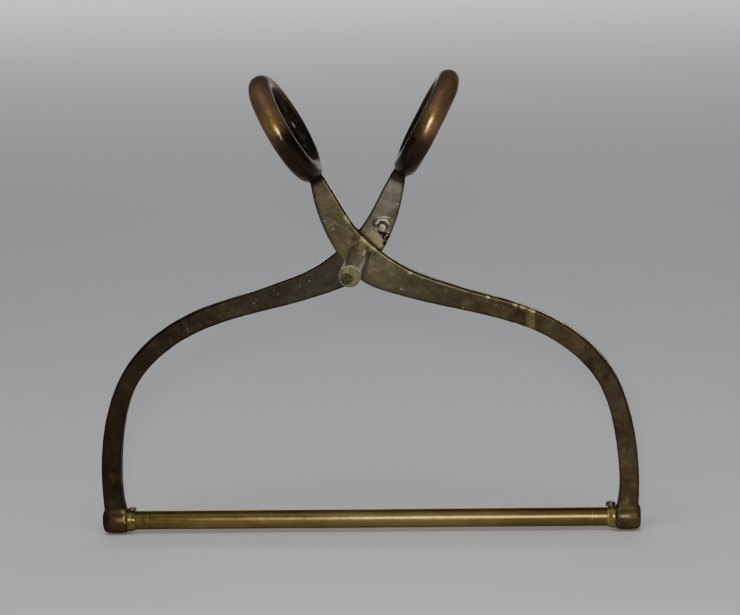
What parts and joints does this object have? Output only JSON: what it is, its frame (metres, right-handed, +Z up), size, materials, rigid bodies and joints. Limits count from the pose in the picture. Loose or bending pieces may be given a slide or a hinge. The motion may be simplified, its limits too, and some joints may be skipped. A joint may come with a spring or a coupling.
{
  "type": "ring-handled bar-holding tongs",
  "caption": "Large brass tongs with ring handles set crosswise, bowed jaws that clasp a round cross bar in socket bosses, and a long pivot post with a stop pin.",
  "frame": {"origin": "on the pivot axis at the post's shoulder, where the plain post leaves the front arm", "axes": "+X to the right along the cross bar, +Y to the back, +Z up towards the ring handles; the pivot post points to -Y"},
  "size_m": [0.3114, 0.1059, 0.2655],
  "materials": {
    "arm_brass": "dark olive-brown patina on cast brass",
    "ring_bronze": "glossy red-brown patina, worn by hands",
    "turned_brass": "tarnished turned brass",
    "bar_brass": "satin golden brass, lightly tarnished"
  },
  "bodies": {
    "rear": {"rear_arm": "arm_brass", "rear_ring": "ring_bronze", "pivot_post": "turned_brass", "pivot_washer": "turned_brass", "stop_pin": "turned_brass"},
    "front": {"front_arm": "arm_brass", "front_ring": "ring_bronze"},
    "bar": {"crossbar": "bar_brass", "left_plug": "bar_brass", "right_plug": "bar_brass", "left_collar": "turned_brass", "right_collar": "turned_brass", "left_set_screw": "turned_brass", "right_set_screw": "turned_brass"}
  },
  "joints": [
    {"name": "arm_pivot", "type": "hinge", "parent": "rear", "child": "front", "pos_m": [0, 0, 0], "axis": [0, -1, 0], "range_deg": [0, 50.5]},
    {"name": "bar_spin", "type": "hinge", "parent": "rear", "child": "bar", "pos_m": [0, 0.00605, -0.157], "axis": [1, 0, 0], "continuous": true}
  ]
}
